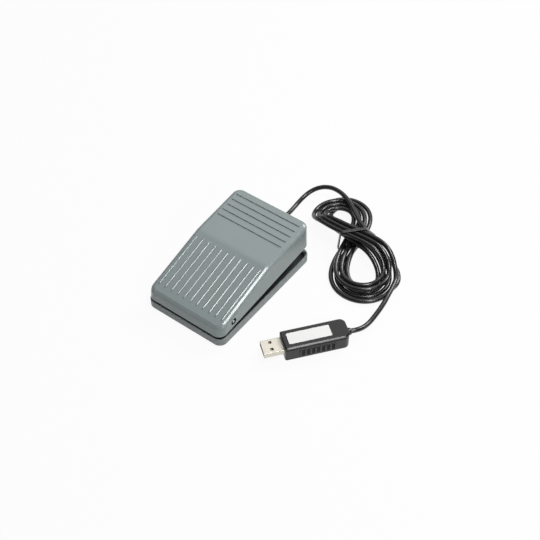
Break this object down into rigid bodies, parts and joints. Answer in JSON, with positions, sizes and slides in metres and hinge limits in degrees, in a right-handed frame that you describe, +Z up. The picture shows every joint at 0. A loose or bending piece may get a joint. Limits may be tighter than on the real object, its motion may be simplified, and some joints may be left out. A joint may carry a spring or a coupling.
{
  "type": "usb foot pedal switch",
  "caption": "Foot pedal with a ribbed, hinged cover on a low base, a sprung micro switch inside, and a hanked cord that ends in a USB plug.",
  "frame": {"origin": "on the floor under the middle of the base", "axes": "+Y from the pedal's low front to its high rear, +X to the right, +Z up"},
  "size_m": [0.1363, 0.1737, 0.0374],
  "materials": {
    "base_plastic": "moulded, fine matt",
    "cover_plastic": "moulded, fine satin",
    "steel": "plated",
    "spring_steel": "drawn wire",
    "foot_rubber": "matt",
    "switch_black": "moulded",
    "switch_red": "moulded",
    "contact_brass": "bare",
    "zinc_sheet": "zinc plated",
    "cord_pvc": "smooth gloss",
    "wire_red": "smooth",
    "tie_pvc": "smooth",
    "plug_black": "fine satin",
    "label_paper": "printed film, blank",
    "nickel": "satin nickel",
    "tongue_white": "moulded",
    "contact_gold": "plated",
    "board_green": "solder mask",
    "chip_black": "moulded",
    "part_tan": "ceramic"
  },
  "bodies": {
    "base": {"base_tray": "base_plastic", "hinge_pin": "steel", "return_spring": "spring_steel", "front_left_foot": "foot_rubber", "front_right_foot": "foot_rubber", "rear_left_foot": "foot_rubber", "rear_right_foot": "foot_rubber", "switch_case": "switch_black", "switch_lid": "switch_red", "lever_pin": "steel", "switch_terminals": "contact_brass", "switch_bracket": "zinc_sheet", "bracket_screws": "steel", "switch_screws": "steel", "switch_nuts": "steel", "cord_clamp": "switch_black", "clamp_screws": "steel", "signal_wires": "wire_red", "cord_inner_end": "cord_pvc", "cord_lead": "cord_pvc", "cord_hank": "cord_pvc", "cord_tail": "cord_pvc", "hank_tie": "tie_pvc", "cord_grommet": "cord_pvc", "plug_collar": "cord_pvc", "plug_cord_end": "cord_pvc", "plug_lower": "plug_black", "plug_lid": "plug_black", "plug_label": "label_paper", "usb_shell": "nickel", "usb_tongue": "tongue_white", "usb_contacts": "contact_gold", "circuit_board": "board_green", "controller_chip": "chip_black", "crystal": "nickel", "board_parts": "part_tan", "plug_wires": "wire_red"},
    "pedal": {"pedal_cover": "cover_plastic"},
    "lever": {"switch_lever": "steel"},
    "plunger": {"switch_plunger": "switch_red"},
    "blade": {"contact_blade": "contact_brass"}
  },
  "joints": [
    {"name": "pedal_hinge", "type": "hinge", "parent": "base", "child": "pedal", "pos_m": [0, -0.037, 0.0149], "axis": [-1, 0, 0], "range_deg": [0, 4.5], "stiffness_Nm_per_rad": 3, "springref_deg": -8.59, "deforming": ["return_spring"]},
    {"name": "lever_hinge", "type": "hinge", "parent": "base", "child": "lever", "pos_m": [-0.016, 0.0028, 0.0245], "axis": [-1, 0, 0], "range_deg": [0, 14.67]},
    {"name": "plunger_slide", "type": "slide", "parent": "base", "child": "plunger", "axis": [0, 0, -1], "range_m": [0, 0.00167]},
    {"name": "blade_hinge", "type": "hinge", "parent": "base", "child": "blade", "pos_m": [-0.016, 0.0208, 0.01985], "axis": [1, 0, 0], "range_deg": [0, 8.37]}
  ],
  "couplings": [
    {"joint": "lever_hinge", "follows": "pedal_hinge", "ratio": 3.26},
    {"joint": "plunger_slide", "follows": "pedal_hinge", "m_per_rad": 0.0212},
    {"joint": "blade_hinge", "follows": "pedal_hinge", "ratio": 1.86}
  ]
}
